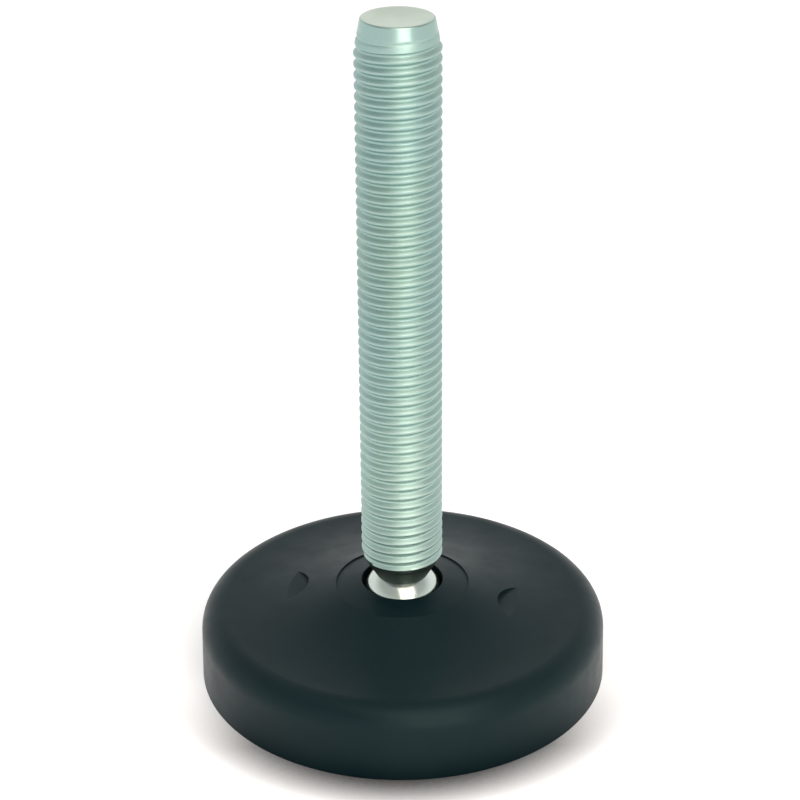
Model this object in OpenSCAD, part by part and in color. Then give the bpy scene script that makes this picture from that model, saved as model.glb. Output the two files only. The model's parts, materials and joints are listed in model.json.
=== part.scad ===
// Swivelling levelling foot: a moulded base with a ball socket and a threaded ball stud.
// Millimetres, +Z up. The origin is the centre of the floor face.

/* [Base] */
// Diameter of the base at the floor
base_d = 60; // [50:1:80]
// Height of the shoulder, where the swept top starts
rim_h = 10.8; // [9.5:0.1:11.5]
// Radius of the rounded shoulder
shoulder_r = 3.5; // [2:0.1:5]
// Inset of the side wall at the shoulder, for release from the mould
wall_draft = 0.15; // [0:0.05:0.4]
// Thickness of the side wall
wall_t = 2.4; // [1.6:0.1:3]
// Thickness of the top skin
skin_t = 2.6; // [1.8:0.1:3]

/* [Socket collar] */
// Outer diameter of the collar round the socket
collar_d = 19.6; // [18.6:0.1:22]
// Height of the collar at the socket's mouth
collar_h = 14.5; // [14:0.1:15]
// Fall from the socket's mouth to the end of the swept top
collar_fall = 0.6; // [0.2:0.1:1]
// Depth of the step where the swept top meets the collar
collar_step = 0.2; // [0.1:0.05:0.5]
// Diameter of the throat that holds the ball in and leaves room for the stud to tilt
mouth_d = 12; // [11.6:0.1:12.6]

/* [Underside] */
// Number of radial ribs
rib_n = 12; // [8:2:16]
// Thickness of ribs and ring
rib_t = 1.8; // [1.2:0.1:2.4]
// Mean diameter of the ring between the boss and the side wall
ring_d = 38; // [34:0.2:40]

/* [Spot-faces] */
// Distance of each spot-face from the axis
spot_r = 19; // [18:0.1:20]
// Diameter of each spot-face
spot_d = 9.6; // [8:0.2:11]
// Height of the spot-face floor
spot_h = 11.75; // [11.2:0.05:12]
// Turn of the two spot-faces about the axis, in degrees
spot_turn = -9; // [-45:1:45]
// Diameter of the blind pilot bore under each spot-face
pilot_d = 5.5; // [4:0.1:6.5]
// Thickness of the skin left between pilot bore and spot-face
pilot_skin = 1; // [0.6:0.1:1.6]

/* [Ball stud] */
// Outer diameter of the thread
thread_d = 11.8; // [11.6:0.1:12.4]
// Length of the thread between the end chamfer and the tip
thread_l = 77.5; // [30:0.5:150]
// Diameter of the ball
ball_d = 13; // [12.8:0.1:13.4]
// Height of the ball centre above the floor
ball_z = 10.4; // [10:0.1:10.8]
// Length of the chamfer under the thread
chamfer_l = 2.9; // [2:0.1:3.4]
// Diameter of the neck where the chamfer meets the ball
neck_d = 7.6; // [7:0.1:9]
// Length of the tapered tip above the thread
tip_l = 3.9; // [2.5:0.1:6]
// Diameter at the foot of the tip
tip_foot_d = 11.5; // [10.4:0.1:11.5]
// Diameter at the end of the tip
tip_end_d = 10.1; // [9:0.1:10.3]
// Edge break at the end of the tip
tip_edge = 0.3; // [0.2:0.1:0.8]

/* [Fits] */
// Radial running clearance between ball and socket
socket_gap = 0.06; // [0.03:0.01:0.1]

/* [Hidden] */
$fn = 96;
base_r = base_d / 2;
wall_top_r = base_r - wall_draft;
shoulder_x = wall_top_r - shoulder_r;
shoulder_z = rim_h - shoulder_r;
ball_r = ball_d / 2;
socket_r = ball_r + socket_gap;
mouth_r = mouth_d / 2;
collar_r = collar_d / 2;
collar_foot = collar_h - collar_fall;
collar_edge = collar_foot - collar_step;
sweep_run = shoulder_x - collar_r;
sweep_rise = collar_foot - rim_h;
sweep_r = (sweep_run * sweep_run + sweep_rise * sweep_rise) / (2 * sweep_rise);
hollow_r = base_r - wall_t;
hollow_fillet = max(0.6, shoulder_r - wall_t);
hollow_h = rim_h - skin_t;
spot_top = collar_h + 1;
pilot_h = spot_h - pilot_skin;
thread_r = thread_d / 2;
neck_r = neck_d / 2;
neck_z = ball_z + sqrt(ball_r * ball_r - neck_r * neck_r);
thread_z = neck_z + chamfer_l;
tip_z = thread_z + thread_l;
tip_step = thread_r - tip_foot_d / 2;
top_z = tip_z + tip_l;
plastic = [0.11, 0.13, 0.13];
zinc = [0.60, 0.71, 0.67];

// The disc whose edge is the concave sweep of the top, larger by grow for the underside of the skin
module sweep_disc(grow = 0) {
    translate([shoulder_x, rim_h + sweep_r])
        circle(r = sweep_r + grow, $fn = 360);
}

// Half section of the base without its underside: wall, shoulder, swept top, step and collar
module base_section() {
    difference() {
        union() {
            polygon([
                [0, 0],
                [base_r, 0],
                [wall_top_r, shoulder_z],
                [shoulder_x, shoulder_z],
                [shoulder_x, rim_h],
                [collar_r, collar_foot],
                [collar_r, collar_edge],
                [mouth_r, collar_h],
                [0, collar_h]
            ]);
            translate([shoulder_x, shoulder_z])
                intersection() {
                    circle(r = shoulder_r);
                    square(shoulder_r);
                }
        }
        difference() {
            sweep_disc();
            square([collar_r, collar_h + 1]);
        }
    }
}

// Half section of the hollow under the skin, from the socket boss to the side wall
module hollow_section() {
    difference() {
        union() {
            translate([collar_r, -1])
                square([hollow_r - collar_r, hollow_h - hollow_fillet + 1]);
            translate([collar_r, 0])
                square([hollow_r - hollow_fillet - collar_r, collar_foot]);
            translate([hollow_r - hollow_fillet, hollow_h - hollow_fillet])
                circle(r = hollow_fillet);
        }
        sweep_disc(skin_t);
        translate([shoulder_x, hollow_h])
            square([base_r, collar_foot]);
    }
}

// Everything that stands in the hollow: radial ribs, the ring and the bosses of the pilot bores
module stiffeners() {
    for (i = [0 : rib_n - 1])
        rotate(spot_turn + i * 360 / rib_n)
            translate([0, -rib_t / 2, 0])
                cube([hollow_r + wall_t / 2, rib_t, collar_foot]);
    difference() {
        cylinder(d = ring_d + rib_t, h = collar_foot);
        translate([0, 0, -1])
            cylinder(d = ring_d - rib_t, h = collar_foot + 2);
    }
    at_spots()
        cylinder(d = spot_d, h = collar_foot);
}

// Places its children at the two spot-faces
module at_spots() {
    for (side = [0, 180])
        rotate(spot_turn + side)
            translate([spot_r, 0, 0])
                children();
}

// Moulded base with ribbed underside, ball socket and spot-faces
module base() {
    color(plastic)
        difference() {
            rotate_extrude()
                base_section();
            difference() {
                rotate_extrude()
                    hollow_section();
                stiffeners();
            }
            translate([0, 0, ball_z]) {
                sphere(r = socket_r);
                cylinder(d = mouth_d, h = collar_h - ball_z + 1);
            }
            at_spots()
                translate([0, 0, spot_h])
                    cylinder(d = spot_d, h = spot_top - spot_h);
            at_spots()
                translate([0, 0, -1])
                    cylinder(d = pilot_d, h = pilot_h + 1);
        }
}

// Turned ball stud with plain shank at the outer diameter of the thread
module stud() {
    color(zinc)
        rotate_extrude() {
            intersection() {
                translate([0, ball_z])
                    circle(r = ball_r);
                square([ball_r, ball_z + ball_r]);
            }
            polygon([
                [0, ball_z],
                [neck_r, neck_z],
                [thread_r, thread_z],
                [thread_r, tip_z],
                [tip_foot_d / 2, tip_z + tip_step],
                [tip_end_d / 2, top_z - tip_edge],
                [tip_end_d / 2 - tip_edge, top_z],
                [0, top_z]
            ]);
        }
}

base();
stud();
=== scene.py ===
"""Swivelling levelling foot: rolled thread on the ball stud, moulded plastic base and a plain studio."""
import json
import math

import bmesh
import bpy
from bpy.props import FloatProperty, FloatVectorProperty, IntProperty, PointerProperty
from mathutils import Matrix, Vector


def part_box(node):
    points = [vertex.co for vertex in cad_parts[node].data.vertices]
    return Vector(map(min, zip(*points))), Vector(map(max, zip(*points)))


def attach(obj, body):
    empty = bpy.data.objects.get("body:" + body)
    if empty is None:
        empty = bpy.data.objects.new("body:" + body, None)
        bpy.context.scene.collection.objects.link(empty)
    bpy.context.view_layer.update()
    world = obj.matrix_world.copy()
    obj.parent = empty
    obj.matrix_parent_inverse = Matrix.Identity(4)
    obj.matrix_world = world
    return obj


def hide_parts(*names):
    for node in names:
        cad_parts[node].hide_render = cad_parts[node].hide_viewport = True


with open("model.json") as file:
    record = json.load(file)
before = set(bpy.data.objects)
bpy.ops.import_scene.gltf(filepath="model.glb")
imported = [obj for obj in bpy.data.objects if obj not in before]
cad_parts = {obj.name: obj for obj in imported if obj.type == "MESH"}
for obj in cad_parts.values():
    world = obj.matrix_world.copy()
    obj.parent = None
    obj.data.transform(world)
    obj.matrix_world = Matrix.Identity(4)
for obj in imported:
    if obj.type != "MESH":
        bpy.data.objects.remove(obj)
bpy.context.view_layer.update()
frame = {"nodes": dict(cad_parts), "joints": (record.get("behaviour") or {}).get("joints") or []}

BALL_CENTRE = Vector(frame["joints"][0]["pos_m"])
STUD_LOW, STUD_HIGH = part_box("stud")
MM = 0.001

bl_info = {
    "name": "Levelling foot",
    "version": (1, 0, 0),
    "blender": (4, 5, 0),
    "location": "3D View > Sidebar > Foot",
    "description": "Dresses a swivelling levelling foot: threaded ball stud, moulded base and studio",
    "category": "Object",
}


class StudSettings(bpy.types.PropertyGroup):
    """Sizes and finish of the ball stud."""

    thread_d: FloatProperty(
        name="Thread diameter", description="Outer diameter of the thread",
        default=11.8 * MM, min=0.004, unit="LENGTH")
    thread_pitch: FloatProperty(
        name="Thread pitch", description="Rise of the thread in one turn",
        default=1.5 * MM, min=0.0005, unit="LENGTH")
    thread_start: FloatProperty(
        name="Thread start", description="Where the thread starts, as a share of one turn",
        default=0.5, min=0.0, max=1.0, subtype="FACTOR")
    neck_d: FloatProperty(
        name="Neck diameter", description="Diameter where the chamfer under the thread meets the ball",
        default=7.6 * MM, min=0.002, unit="LENGTH")
    chamfer_l: FloatProperty(
        name="Chamfer length",
        description="Length of the chamfer under the thread, with the thread's run-out",
        default=3.6 * MM, min=0.0005, unit="LENGTH")
    tip_l: FloatProperty(
        name="Tip length", description="Length of the tapered tip above the thread",
        default=3.9 * MM, min=0.0005, unit="LENGTH")
    tip_foot_d: FloatProperty(
        name="Tip foot", description="Diameter at the foot of the tip",
        default=11.5 * MM, min=0.002, unit="LENGTH")
    tip_end_d: FloatProperty(
        name="Tip end", description="Diameter at the end of the tip",
        default=10.1 * MM, min=0.002, unit="LENGTH")
    tip_edge: FloatProperty(
        name="Tip edge", description="Edge break at the end of the tip",
        default=0.3 * MM, min=0.0001, unit="LENGTH")
    sides: IntProperty(
        name="Sides", description="Steps round the stud", default=96, min=24, max=160)
    zinc_green: FloatVectorProperty(
        name="Zinc, green", description="Greener tone of the passivated zinc",
        default=(0.37, 0.515, 0.457), size=3, min=0.0, max=1.0, subtype="COLOR")
    zinc_blue: FloatVectorProperty(
        name="Zinc, blue", description="Bluer tone of the passivated zinc",
        default=(0.35, 0.507, 0.49), size=3, min=0.0, max=1.0, subtype="COLOR")
    # Painted light: a paler zinc tone that brightens the stud towards its foot
    zinc_foot_light: FloatVectorProperty(
        name="Zinc, foot", description="Paler tone towards the foot of the stud",
        default=(0.445, 0.60, 0.55), size=3, min=0.0, max=1.0, subtype="COLOR")
    # Painted shade: a near-black zinc tone darkens the chamfer under the thread, where shade falls
    undercut_shade_tone: FloatVectorProperty(
        name="Undercut", description="Painted shade in the undercut above the ball",
        default=(0.05, 0.075, 0.065), size=3, min=0.0, max=1.0, subtype="COLOR")
    zinc_roughness: FloatProperty(
        name="Zinc roughness", description="Mean roughness of the plating",
        default=0.46, min=0.02, max=1.0, subtype="FACTOR")
    tip_roughness: FloatProperty(
        name="Tip roughness", description="Mean roughness of the burnished tip",
        default=0.31, min=0.02, max=1.0, subtype="FACTOR")
    ball_tone: FloatVectorProperty(
        name="Ball", description="Tone of the polished ball",
        default=(0.60, 0.68, 0.62), size=3, min=0.0, max=1.0, subtype="COLOR")
    ball_roughness: FloatProperty(
        name="Ball roughness", description="Mean roughness of the polished ball",
        default=0.19, min=0.02, max=1.0, subtype="FACTOR")
    face_tone: FloatVectorProperty(
        name="End face", description="Tone of the faced end of the stud",
        default=(0.60, 0.695, 0.59), size=3, min=0.0, max=1.0, subtype="COLOR")


class BaseSettings(bpy.types.PropertyGroup):
    """Finish of the moulded base."""

    plastic_dark: FloatVectorProperty(
        name="Plastic, dark", description="Darker tone of the moulded plastic",
        default=(0.0015, 0.009, 0.012), size=3, min=0.0, max=1.0, subtype="COLOR")
    plastic_light: FloatVectorProperty(
        name="Plastic, light", description="Lighter tone of the moulded plastic",
        default=(0.004, 0.013, 0.016), size=3, min=0.0, max=1.0, subtype="COLOR")
    plastic_roughness: FloatProperty(
        name="Plastic roughness", description="Mean roughness of the moulded skin",
        default=0.40, min=0.02, max=1.0, subtype="FACTOR")
    sheen_tone: FloatVectorProperty(
        name="Sheen", description="Tint of the light that the moulded skin throws back",
        default=(0.70, 0.97, 0.98), size=3, min=0.0, max=1.0, subtype="COLOR")
    grain: FloatProperty(
        name="Mould grain", description="Height of the fine grain left by the mould",
        default=0.012 * MM, min=0.0, max=0.0002, unit="LENGTH")


class StageSettings(bpy.types.PropertyGroup):
    """Camera, light and floor."""

    camera_distance: FloatProperty(
        name="Camera distance", description="From the aim point to the lens",
        default=0.315, min=0.05, unit="LENGTH")
    camera_elevation: FloatProperty(
        name="Camera elevation", description="Angle of the camera above the aim point",
        default=math.radians(26.64), unit="ROTATION")
    camera_roll: FloatProperty(
        name="Camera roll", description="Turn of the camera about its own axis",
        default=math.radians(0.50), unit="ROTATION")
    camera_aim: FloatVectorProperty(
        name="Aim point", description="Point that the camera looks at",
        default=(-0.00011, 0.0, 0.04395), size=3, subtype="XYZ_LENGTH")
    camera_lens: FloatProperty(
        name="Lens", description="Focal length on a 36 mm sensor, in millimetres",
        default=99.87, min=10.0, max=500.0)
    key_power: FloatProperty(
        name="Key light", description="Power of the tall soft light beside the camera, in watts",
        default=1.20, min=0.0)
    top_power: FloatProperty(
        name="Top light", description="Power of the soft light above the camera, in watts",
        default=0.9, min=0.0)
    key_tint: FloatVectorProperty(
        name="Key tint", description="Colour of the tall soft light",
        default=(1.0, 0.90, 0.80), size=3, min=0.0, max=1.0, subtype="COLOR")
    top_tint: FloatVectorProperty(
        name="Top tint", description="Colour of the soft light above the camera",
        default=(1.0, 0.85, 0.74), size=3, min=0.0, max=1.0, subtype="COLOR")
    floor_white: FloatProperty(
        name="Floor", description="Reflectance of the pale floor",
        default=0.82, min=0.0, max=1.0, subtype="FACTOR")


# Height across one thread turn: (share of a turn, share of the thread depth below the crest)
THREAD_FORM = (
    (0.000, 0.000), (0.090, 0.000), (0.125, 0.060), (0.245, 0.480), (0.365, 0.900), (0.405, 0.985),
    (0.500, 1.000), (0.595, 0.985), (0.635, 0.900), (0.755, 0.480), (0.875, 0.060), (0.910, 0.000),
)
# Depth of the thread as a share of its pitch
THREAD_DEPTH = 0.37
# Fewest turns that a thread needs, and the turns past its two ends that the end heights cut away
LEAST_TURNS = 4
SPARE_TURNS = 4
# How far the root of the thread stays outside the end of the tip
ROOT_MARGIN = 0.02 * MM
# How far below the foot of the thread the dull undercut with its painted shade ends
UNDERCUT_DROP = 0.15 * MM
# Heights between which the zinc is painted paler towards the foot, a painted light on the lower stud
FOOT_LIGHT_START = 60 * MM
FOOT_LIGHT_WHOLE = 20 * MM
# Rings up the ball, and steps round the edge of the tip
BALL_STEPS = 40
EDGE_STEPS = 5
# Cup in the end face: (share of its radius, depth), and its depth in the middle
CUP_FORM = ((0.9, 0.02 * MM), (0.55, 0.16 * MM), (0.2, 0.24 * MM))
CUP_DEPTH = 0.25 * MM
# Faces of the tip that point up more than this belong to the end face
END_FACE_UP = 0.95
# Edges of the stud sharper than this stay sharp, in degrees
SHARP_EDGE = 38.0
# Vertices closer than WELD become one, heights within HAIR count as equal, and corners of a face lie
# at one level if their heights agree to LEVEL_DIGITS decimals
WELD = 1e-7
HAIR = 1e-6
LEVEL_DIGITS = 9
# Material slots of the stud, in the order in which they are added
PASSIVATED, POLISHED, FACED, UNDERCUT, BURNISHED = range(5)

# Soft lights: place and size, with one point that both face
KEY_PLACE = (0.155, -0.476, 0.29)
KEY_SIZE = (0.35, 0.52)
TOP_PLACE = (0.106, -0.261, 0.53)
TOP_SIZE = (0.42, 0.36)
LIGHT_AIM = (0.0, 0.0, 0.08)
# Surround: (sine of the height above the horizon, brightness)
SKY_STOPS = ((0.0, 1.0), (0.36, 1.0), (0.66, 0.5), (0.88, 0.5), (0.97, 0.9))
# Camera: width of the sensor in millimetres, and how near and far it sees
SENSOR_WIDTH = 36.0
NEAR_CLIP = 0.01
FAR_CLIP = 20.0
# Floor: its level just below the base, the radii and sides of its rings, and its glow where it is seen
FLOOR_LEVEL = -0.02 * MM
FLOOR_RADII = (0.04, 0.15, 0.6, 2.5)
FLOOR_SIDES = 96
FLOOR_GLOW = 0.40
# Contact shadow: how far it reaches and by how many samples, the way it looks for the base, the open
# share at which it is darkest, and the places along Y between which it grows to its full depth
SHADOW_REACH = 6.8 * MM
SHADOW_SAMPLES = 16
SHADOW_FACING = (0.0, 0.95, 0.3)
SHADOW_DARKEST = 0.35
SHADOW_START = -6 * MM
SHADOW_WHOLE = -22 * MM


def ring_of(bm, radius, height, sides):
    """One ring of vertices round the Z axis."""
    step = 2.0 * math.pi / sides
    return [
        bm.verts.new((radius * math.cos(i * step), radius * math.sin(i * step), height))
        for i in range(sides)
    ]


def skin_rings(bm, rings):
    """Quads between each ring and the next, facing outwards when the rings climb."""
    for low, high in zip(rings[:-1], rings[1:]):
        count = len(low)
        for i in range(count):
            j = (i + 1) % count
            bm.faces.new((low[i], low[j], high[j], high[i]))


def cap_ring(bm, ring, height, up):
    """Closes a ring with a fan round one middle vertex."""
    middle = bm.verts.new((0.0, 0.0, height))
    count = len(ring)
    for i in range(count):
        j = (i + 1) % count
        bm.faces.new((ring[i], ring[j], middle) if up else (ring[j], ring[i], middle))


def piece_from(bm, name, sharp_deg):
    """A shown object from a bmesh, smooth but for edges sharper than sharp_deg."""
    bmesh.ops.recalc_face_normals(bm, faces=bm.faces)
    mesh = bpy.data.meshes.new(name)
    bm.to_mesh(mesh)
    bm.free()
    mesh.shade_smooth()
    mesh.set_sharp_from_angle(angle=math.radians(sharp_deg))
    piece = bpy.data.objects.new(name, mesh)
    bpy.context.scene.collection.objects.link(piece)
    return piece


class NodeBench:
    """A material's node tree with short ways to add and join nodes."""

    # Heights of a noise between which a colour, or a number, runs from its low end to its high end
    BLEND_ENDS = (0.32, 0.68)
    SPAN_ENDS = (0.3, 0.7)

    def __init__(self, name):
        self.material = bpy.data.materials.new(name)
        self.material.use_nodes = True
        self.tree = self.material.node_tree
        self.shader = self.tree.nodes["Principled BSDF"]

    def add(self, kind, **values):
        """A new node with values of its own."""
        node = self.tree.nodes.new(kind)
        for key, value in values.items():
            setattr(node, key, value)
        return node

    def join(self, source, out, target, into):
        """A link from one node's output to another's input."""
        self.tree.links.new(source.outputs[out], target.inputs[into])

    def noise(self, coords, scale, detail, roughness=0.5, squeeze=(1.0, 1.0, 1.0)):
        """Noise over the object's own coordinates, squeezed along its axes."""
        mapping = self.add("ShaderNodeMapping")
        mapping.inputs["Scale"].default_value = squeeze
        self.join(coords, "Object", mapping, "Vector")
        noise = self.add("ShaderNodeTexNoise")
        noise.inputs["Scale"].default_value = scale
        noise.inputs["Detail"].default_value = detail
        noise.inputs["Roughness"].default_value = roughness
        self.join(mapping, "Vector", noise, "Vector")
        return noise

    def blend(self, factor, low, high):
        """Colour between low and high by a noise's height."""
        ramp = self.add("ShaderNodeValToRGB")
        for element, place, colour in zip(ramp.color_ramp.elements, self.BLEND_ENDS, (low, high)):
            element.position = place
            element.color = (*colour, 1.0)
        self.join(factor, "Fac", ramp, "Fac")
        return ramp

    def span(self, factor, low, high):
        """Number between low and high by a noise's height."""
        span = self.add("ShaderNodeMapRange")
        lowest, highest = self.SPAN_ENDS
        span.inputs["From Min"].default_value = lowest
        span.inputs["From Max"].default_value = highest
        span.inputs["To Min"].default_value = low
        span.inputs["To Max"].default_value = high
        self.join(factor, "Fac", span, "Value")
        return span

    def bump(self, height, distance, strength, under=None):
        """Bump of a texture's height, over another normal where one is given."""
        bump = self.add("ShaderNodeBump")
        bump.inputs["Distance"].default_value = distance
        bump.inputs["Strength"].default_value = strength
        self.join(height, "Fac", bump, "Height")
        if under is not None:
            self.join(under, "Normal", bump, "Normal")
        return bump


def shades(tone, dark, light):
    """A darker and a lighter shade of one tone."""
    return [c * dark for c in tone], [c * light for c in tone]


def zinc_material(settings, name, roughness):
    """Passivated zinc: green to blue tones, soft gloss with fine pits and faint marks round the stud."""
    bench = NodeBench(name)
    shader = bench.shader
    coords = bench.add("ShaderNodeTexCoord")
    cloud = bench.noise(coords, scale=90.0, detail=3.0, squeeze=(1.0, 1.0, 0.45))
    tone = bench.blend(cloud, settings.zinc_green, settings.zinc_blue)
    # Painted light: the colour grows paler towards the foot of the stud
    place = bench.add("ShaderNodeSeparateXYZ")
    bench.join(coords, "Object", place, "Vector")
    foot = bench.add("ShaderNodeMapRange")
    foot.inputs["From Min"].default_value = FOOT_LIGHT_START
    foot.inputs["From Max"].default_value = FOOT_LIGHT_WHOLE
    bench.join(place, "Z", foot, "Value")
    lit_foot_mix = bench.add("ShaderNodeMixRGB")
    lit_foot_mix.inputs["Color2"].default_value = (*settings.zinc_foot_light, 1.0)
    bench.join(foot, "Result", lit_foot_mix, "Fac")
    bench.join(tone, "Color", lit_foot_mix, "Color1")
    bench.join(lit_foot_mix, "Color", shader, "Base Color")
    haze = bench.noise(coords, scale=420.0, detail=4.0, roughness=0.6)
    gloss = bench.span(haze, low=roughness - 0.06, high=roughness + 0.06)
    bench.join(gloss, "Result", shader, "Roughness")
    rolled = bench.noise(coords, scale=900.0, detail=2.0, squeeze=(0.2, 0.2, 2.2))
    pits = bench.noise(coords, scale=5200.0, detail=2.0, roughness=0.6)
    marks = bench.bump(rolled, distance=0.004 * MM, strength=0.5)
    skin = bench.bump(pits, distance=0.002 * MM, strength=0.5, under=marks)
    bench.join(skin, "Normal", shader, "Normal")
    shader.inputs["Metallic"].default_value = 1.0
    return bench.material


def ball_material(settings):
    """Polished zinc of the ball, with faint turning marks."""
    bench = NodeBench("polished_zinc")
    shader = bench.shader
    coords = bench.add("ShaderNodeTexCoord")
    cloud = bench.noise(coords, scale=160.0, detail=3.0)
    tone = bench.blend(cloud, *shades(settings.ball_tone, dark=0.97, light=1.03))
    bench.join(tone, "Color", shader, "Base Color")
    haze = bench.noise(coords, scale=700.0, detail=3.0)
    gloss = bench.span(haze, low=settings.ball_roughness - 0.02, high=settings.ball_roughness + 0.03)
    bench.join(gloss, "Result", shader, "Roughness")
    turned = bench.noise(coords, scale=1500.0, detail=2.0, squeeze=(0.1, 0.1, 3.0))
    marks = bench.bump(turned, distance=0.002 * MM, strength=0.3)
    bench.join(marks, "Normal", shader, "Normal")
    shader.inputs["Metallic"].default_value = 1.0
    return bench.material


def painted_undercut_shade(settings):
    """Dark, dull zinc in the undercut between thread and ball: its near-black tone is painted shade where the
    chamfer faces down.
    """
    bench = NodeBench("undercut_painted_shade")
    shader = bench.shader
    coords = bench.add("ShaderNodeTexCoord")
    cloud = bench.noise(coords, scale=500.0, detail=3.0)
    tone = bench.blend(cloud, *shades(settings.undercut_shade_tone, dark=0.8, light=1.2))
    bench.join(tone, "Color", shader, "Base Color")
    gloss = bench.span(cloud, low=settings.zinc_roughness, high=settings.zinc_roughness + 0.15)
    bench.join(gloss, "Result", shader, "Roughness")
    shader.inputs["Metallic"].default_value = 1.0
    return bench.material


def faced_material(settings):
    """Zinc on the faced end of the stud, with the rings that the facing tool left."""
    bench = NodeBench("faced_zinc")
    shader = bench.shader
    coords = bench.add("ShaderNodeTexCoord")
    cloud = bench.noise(coords, scale=300.0, detail=3.0)
    tone = bench.blend(cloud, *shades(settings.face_tone, dark=0.95, light=1.04))
    bench.join(tone, "Color", shader, "Base Color")
    haze = bench.noise(coords, scale=600.0, detail=3.0)
    gloss = bench.span(haze, low=settings.tip_roughness - 0.04, high=settings.tip_roughness + 0.06)
    bench.join(gloss, "Result", shader, "Roughness")
    tooled = bench.add("ShaderNodeTexWave", wave_type="RINGS", rings_direction="Z")
    tooled.inputs["Scale"].default_value = 1200.0
    tooled.inputs["Distortion"].default_value = 1.0
    bench.join(coords, "Object", tooled, "Vector")
    marks = bench.bump(tooled, distance=0.002 * MM, strength=0.4)
    bench.join(marks, "Normal", shader, "Normal")
    shader.inputs["Metallic"].default_value = 1.0
    return bench.material


def plastic_material(settings):
    """Satin black moulded plastic: fine mould grain, faint flow clouds and uneven gloss."""
    bench = NodeBench("satin_black_plastic")
    shader = bench.shader
    coords = bench.add("ShaderNodeTexCoord")
    flow = bench.noise(coords, scale=55.0, detail=4.0, roughness=0.55)
    tone = bench.blend(flow, settings.plastic_dark, settings.plastic_light)
    bench.join(tone, "Color", shader, "Base Color")
    haze = bench.noise(coords, scale=260.0, detail=5.0, roughness=0.6)
    gloss = bench.span(haze, low=settings.plastic_roughness - 0.05, high=settings.plastic_roughness + 0.05)
    bench.join(gloss, "Result", shader, "Roughness")
    grain = bench.noise(coords, scale=3200.0, detail=3.0, roughness=0.55)
    wave = bench.noise(coords, scale=130.0, detail=2.0)
    soft_edges = bench.add("ShaderNodeBevel", samples=4)
    soft_edges.inputs["Radius"].default_value = 0.15 * MM
    swell = bench.bump(wave, distance=0.02 * MM, strength=0.3, under=soft_edges)
    skin = bench.bump(grain, distance=settings.grain, strength=0.6, under=swell)
    bench.join(skin, "Normal", shader, "Normal")
    shader.inputs["Specular IOR Level"].default_value = 0.22
    shader.inputs["Specular Tint"].default_value = (*settings.sheen_tone, 1.0)
    return bench.material


def floor_material(settings):
    """Pale floor, white where it is seen, with a contact shadow on the near side of the base."""
    bench = NodeBench("pale_floor")
    bench.tree.nodes.remove(bench.shader)
    near = bench.add("ShaderNodeAmbientOcclusion", samples=SHADOW_SAMPLES)
    near.inputs["Distance"].default_value = SHADOW_REACH
    facing = bench.add("ShaderNodeCombineXYZ")
    for axis, share in zip("XYZ", SHADOW_FACING):
        facing.inputs[axis].default_value = share
    bench.join(facing, "Vector", near, "Normal")
    open_share = bench.add("ShaderNodeMapRange")
    open_share.inputs["From Min"].default_value = SHADOW_DARKEST
    bench.join(near, "AO", open_share, "Value")
    coords = bench.add("ShaderNodeTexCoord")
    place = bench.add("ShaderNodeSeparateXYZ")
    bench.join(coords, "Object", place, "Vector")
    shade = bench.add("ShaderNodeMapRange")
    shade.inputs["From Min"].default_value = SHADOW_START
    shade.inputs["From Max"].default_value = SHADOW_WHOLE
    shade.inputs["To Min"].default_value = 1.0
    bench.join(place, "Y", shade, "Value")
    bench.join(open_share, "Result", shade, "To Max")
    tone = bench.add("ShaderNodeMapRange")
    tone.inputs["To Max"].default_value = settings.floor_white
    bench.join(shade, "Result", tone, "Value")
    matt = bench.add("ShaderNodeBsdfDiffuse")
    bench.join(tone, "Result", matt, "Color")
    rays = bench.add("ShaderNodeLightPath")
    direct = bench.add("ShaderNodeMath", operation="MAXIMUM")
    bench.join(rays, "Is Camera Ray", direct, 0)
    bench.join(rays, "Is Glossy Ray", direct, 1)
    seen = bench.add("ShaderNodeMath", operation="MAXIMUM")
    bench.join(direct, "Value", seen, 0)
    bench.join(rays, "Is Transmission Ray", seen, 1)
    shaded = bench.add("ShaderNodeMath", operation="MULTIPLY")
    bench.join(seen, "Value", shaded, 0)
    bench.join(shade, "Result", shaded, 1)
    lift = bench.add("ShaderNodeMath", operation="MULTIPLY")
    lift.inputs[1].default_value = FLOOR_GLOW
    bench.join(shaded, "Value", lift, 0)
    glow = bench.add("ShaderNodeEmission")
    bench.join(lift, "Value", glow, "Strength")
    both = bench.add("ShaderNodeAddShader")
    bench.join(matt, "BSDF", both, 0)
    bench.join(glow, "Emission", both, 1)
    bench.join(both, "Shader", bench.tree.nodes["Material Output"], "Surface")
    return bench.material


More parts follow.
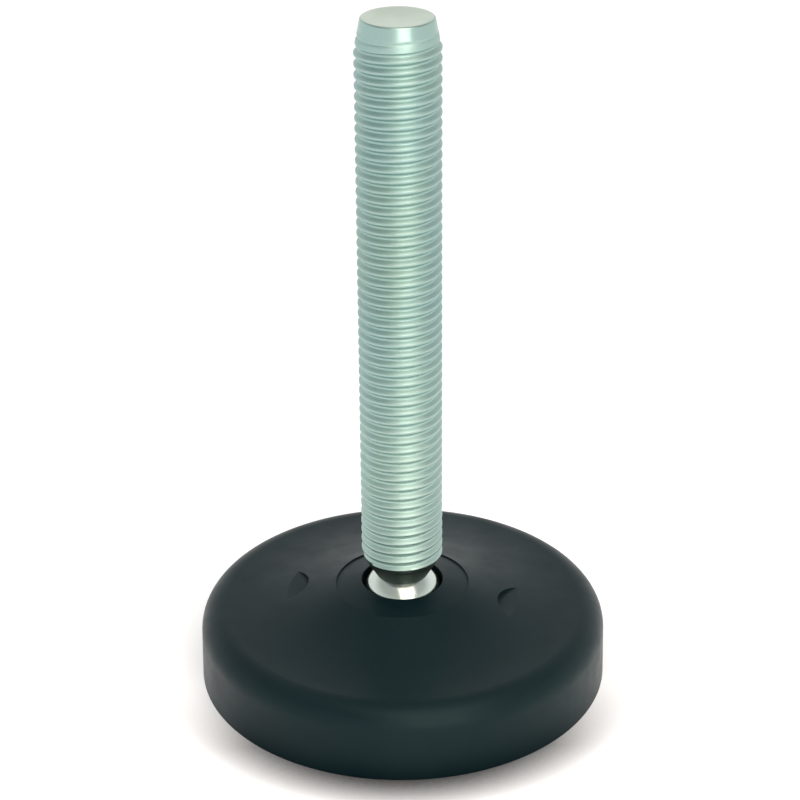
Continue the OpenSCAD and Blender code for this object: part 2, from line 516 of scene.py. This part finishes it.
class FOOT_OT_stud(bpy.types.Operator):
    """Builds the ball stud with its rolled thread, in place of the plain shank"""

    bl_idname = "foot.stud"
    bl_label = "Ball stud"

    def execute(self, context):
        s = context.scene.foot_stud
        self.thread_r = s.thread_d / 2
        self.foot_r = s.tip_foot_d / 2
        self.end_r = s.tip_end_d / 2
        self.ball_r = BALL_CENTRE.z - STUD_LOW.z
        self.neck_r = s.neck_d / 2
        self.neck_z = BALL_CENTRE.z + math.sqrt(self.ball_r ** 2 - self.neck_r ** 2)
        self.thread_z = self.neck_z + s.chamfer_l
        self.top_z = STUD_HIGH.z
        self.tip_z = self.top_z - s.tip_l
        self.tip_foot_z = self.tip_z + self.thread_r - self.foot_r
        self.taper = (self.foot_r - self.end_r) / (self.top_z - s.tip_edge - self.tip_foot_z)
        self.root_r = max(self.end_r + ROOT_MARGIN, self.thread_r - THREAD_DEPTH * s.thread_pitch)
        self.runout_z = self.tip_foot_z + (self.foot_r - self.root_r) / self.taper
        if self.tip_z - self.thread_z < LEAST_TURNS * s.thread_pitch:
            raise RuntimeError("the thread is too short for its pitch")
        bm = bmesh.new()
        lower, upper = self.thread(bm, s)
        self.ball(bm, s, lower)
        self.tip(bm, s, upper)
        bmesh.ops.remove_doubles(bm, verts=bm.verts, dist=WELD)
        bmesh.ops.dissolve_degenerate(bm, edges=bm.edges, dist=WELD)
        stud = piece_from(bm, "threaded_ball_stud", SHARP_EDGE)
        stud.data.materials.append(zinc_material(s, "passivated_zinc", s.zinc_roughness))
        stud.data.materials.append(ball_material(s))
        stud.data.materials.append(faced_material(s))
        stud.data.materials.append(painted_undercut_shade(s))
        stud.data.materials.append(zinc_material(s, "burnished_zinc", s.tip_roughness))
        for face in stud.data.polygons:
            face.material_index = self.finish_of(face, s)
        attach(stud, "stud")
        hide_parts("stud")
        return {"FINISHED"}

    def finish_of(self, face, s):
        """Material slot of a face, by its place on the stud."""
        height = face.center.z
        if height < self.neck_z - HAIR:
            return POLISHED
        # The chamfer under the thread takes the painted shade of the undercut
        if height < self.thread_z - UNDERCUT_DROP:
            return UNDERCUT
        if height > self.top_z - s.tip_edge and face.normal.z > END_FACE_UP:
            return FACED
        if height > self.runout_z:
            return BURNISHED
        return PASSIVATED

    def envelope(self, z):
        """Turned outline that cuts the thread's crests at both ends."""
        if z < self.thread_z:
            share = (z - self.neck_z) / (self.thread_z - self.neck_z)
            return self.neck_r + share * (self.thread_r - self.neck_r)
        if z > self.tip_foot_z:
            return self.foot_r - (z - self.tip_foot_z) * self.taper
        return min(self.thread_r, self.foot_r + self.tip_foot_z - z)

    def thread(self, bm, s):
        """One helical skin from the chamfer's lower edge to its run-out on the tip; returns its end rings."""
        pitch, sides, form = s.thread_pitch, s.sides, len(THREAD_FORM)
        depth = self.thread_r - self.root_r
        low, high = self.neck_z, self.runout_z
        turns = math.ceil((high - low) / pitch) + SPARE_TURNS
        start = low - (SPARE_TURNS / 2 - s.thread_start) * pitch
        columns = []
        for j in range(sides):
            angle = 2.0 * math.pi * j / sides
            cos, sin = math.cos(angle), math.sin(angle)
            column = []
            for turn in range(turns):
                for share, drop in THREAD_FORM:
                    z = start + pitch * (turn + share + j / sides)
                    held = min(high, max(low, z))
                    radius = min(self.thread_r - drop * depth, self.envelope(held))
                    if held in (low, high):
                        radius = self.envelope(held)
                    column.append(bm.verts.new((radius * cos, radius * sin, held)))
            columns.append(column)
        rows = turns * form
        for j in range(sides):
            left = columns[j]
            right = columns[(j + 1) % sides]
            shift = form if j == sides - 1 else 0
            for i in range(rows - 1):
                a, b = min(rows - 1, i + shift), min(rows - 1, i + 1 + shift)
                corners = [left[i], right[a], right[b], left[i + 1]]
                levels = {round(v.co.z, LEVEL_DIGITS) for v in corners}
                if len(levels) == 1 or a == b:
                    continue
                bm.faces.new(corners)
        return [c[0] for c in columns], [c[-1] for c in columns]

    def ball(self, bm, s, joint):
        """Ball from its foot up to the ring joint, where the chamfer meets it."""
        last = math.acos(self.neck_r / self.ball_r)
        rings = []
        for i in range(1, BALL_STEPS):
            angle = -math.pi / 2 + (last + math.pi / 2) * i / BALL_STEPS
            height = BALL_CENTRE.z + self.ball_r * math.sin(angle)
            rings.append(ring_of(bm, self.ball_r * math.cos(angle), height, s.sides))
        skin_rings(bm, [*rings, joint])
        cap_ring(bm, rings[0], STUD_LOW.z, False)

    def tip(self, bm, s, joint):
        """Tapered tip with a rounded edge and a faintly cupped end."""
        outline = []
        for i in range(EDGE_STEPS + 1):
            angle = math.pi / 2 * i / EDGE_STEPS
            outline.append((
                self.end_r - s.tip_edge * (1.0 - math.cos(angle)),
                self.top_z - s.tip_edge * (1.0 - math.sin(angle)),
            ))
        cup_r = self.end_r - s.tip_edge
        outline += [(cup_r * share, self.top_z - depth) for share, depth in CUP_FORM]
        rings = [ring_of(bm, radius, height, s.sides) for radius, height in outline]
        skin_rings(bm, [joint, *rings])
        cap_ring(bm, rings[-1], self.top_z - CUP_DEPTH, True)


class FOOT_OT_base(bpy.types.Operator):
    """Gives the moulded base its satin black plastic"""

    bl_idname = "foot.base"
    bl_label = "Moulded base"

    def execute(self, context):
        base = frame["nodes"]["base"]
        base.data.materials.clear()
        base.data.materials.append(plastic_material(context.scene.foot_base))
        return {"FINISHED"}


class FOOT_OT_stage(bpy.types.Operator):
    """Sets the camera, the soft lights, the pale floor and the white surround"""

    bl_idname = "foot.stage"
    bl_label = "Studio"

    def execute(self, context):
        s = context.scene.foot_stage
        context.scene.view_settings.view_transform = "Standard"
        self.camera(context, s)
        self.floor(context, s)
        self.surround(context)
        self.softbox(context, "key_softbox", KEY_PLACE, KEY_SIZE, s.key_power, s.key_tint)
        self.softbox(context, "top_softbox", TOP_PLACE, TOP_SIZE, s.top_power, s.top_tint)
        return {"FINISHED"}

    def camera(self, context, s):
        """Camera at its distance from the aim point, raised by its elevation and rolled on its axis."""
        cos, sin = math.cos(s.camera_elevation), math.sin(s.camera_elevation)
        right, up, back = Vector((1, 0, 0)), Vector((0, sin, cos)), Vector((0, -cos, sin))
        turn, lift = math.cos(s.camera_roll), math.sin(s.camera_roll)
        x_axis = right * turn - up * lift
        y_axis = right * lift + up * turn
        pose = Matrix((x_axis, y_axis, back)).transposed().to_4x4()
        pose.translation = Vector(s.camera_aim) + back * s.camera_distance
        data = bpy.data.cameras.new("camera")
        data.lens = s.camera_lens
        data.sensor_width = SENSOR_WIDTH
        data.clip_start = NEAR_CLIP
        data.clip_end = FAR_CLIP
        camera = bpy.data.objects.new("camera", data)
        camera.matrix_world = pose
        context.scene.collection.objects.link(camera)
        context.scene.camera = camera

    def floor(self, context, s):
        """Round floor, a hair below the base."""
        bm = bmesh.new()
        rings = [ring_of(bm, radius, FLOOR_LEVEL, FLOOR_SIDES) for radius in FLOOR_RADII]
        skin_rings(bm, rings[::-1])
        cap_ring(bm, rings[0], FLOOR_LEVEL, True)
        mesh = bpy.data.meshes.new("floor")
        bm.to_mesh(mesh)
        bm.free()
        mesh.materials.append(floor_material(s))
        floor = bpy.data.objects.new("floor", mesh)
        context.scene.collection.objects.link(floor)

    def surround(self, context):
        """White surround that dims between the horizon and the zenith, as a light tent does."""
        world = bpy.data.worlds.new("white_surround")
        world.use_nodes = True
        context.scene.world = world
        tree = world.node_tree
        ground = tree.nodes["Background"]
        coords = tree.nodes.new("ShaderNodeTexCoord")
        split = tree.nodes.new("ShaderNodeSeparateXYZ")
        ramp = tree.nodes.new("ShaderNodeValToRGB")
        tree.links.new(coords.outputs["Generated"], split.inputs["Vector"])
        tree.links.new(split.outputs["Z"], ramp.inputs["Fac"])
        tree.links.new(ramp.outputs["Color"], ground.inputs["Color"])
        while len(ramp.color_ramp.elements) < len(SKY_STOPS):
            ramp.color_ramp.elements.new(0.5)
        for element, (place, level) in zip(ramp.color_ramp.elements, SKY_STOPS):
            element.position = place
            element.color = (level, level, level, 1.0)
        ground.inputs["Strength"].default_value = 1.0

    def softbox(self, context, name, place, size, power, tint):
        """Rectangular soft light that faces the stud."""
        data = bpy.data.lights.new(name, "AREA")
        data.shape = "RECTANGLE"
        data.size, data.size_y = size
        data.energy = power
        data.color = tint
        light = bpy.data.objects.new(name, data)
        light.location = place
        aim = Vector(LIGHT_AIM) - Vector(place)
        light.rotation_mode = "QUATERNION"
        light.rotation_quaternion = aim.to_track_quat("-Z", "Y")
        context.scene.collection.objects.link(light)


class FOOT_PT_panel(bpy.types.Panel):
    """Lists the steps that dress the foot"""

    bl_idname = "FOOT_PT_panel"
    bl_label = "Levelling foot"
    bl_space_type = "VIEW_3D"
    bl_region_type = "UI"
    bl_category = "Foot"

    def draw(self, context):
        layout = self.layout
        for step in STEPS:
            layout.operator(step.bl_idname)
        for group in (context.scene.foot_stud, context.scene.foot_base, context.scene.foot_stage):
            box = layout.box()
            for name in group.bl_rna.properties.keys():
                if name not in ("rna_type", "name"):
                    box.prop(group, name)


STEPS = (FOOT_OT_stage, FOOT_OT_base, FOOT_OT_stud)
SETTINGS = (("foot_stud", StudSettings), ("foot_base", BaseSettings), ("foot_stage", StageSettings))


def register():
    for name, group in SETTINGS:
        bpy.utils.register_class(group)
        setattr(bpy.types.Scene, name, PointerProperty(type=group))
    for cls in (*STEPS, FOOT_PT_panel):
        bpy.utils.register_class(cls)


def unregister():
    for cls in (FOOT_PT_panel, *reversed(STEPS)):
        bpy.utils.unregister_class(cls)
    for name, group in reversed(SETTINGS):
        delattr(bpy.types.Scene, name)
        bpy.utils.unregister_class(group)


def main():
    register()
    bpy.ops.foot.stage()
    bpy.ops.foot.base()
    bpy.ops.foot.stud()


if __name__ == "__main__":
    main()
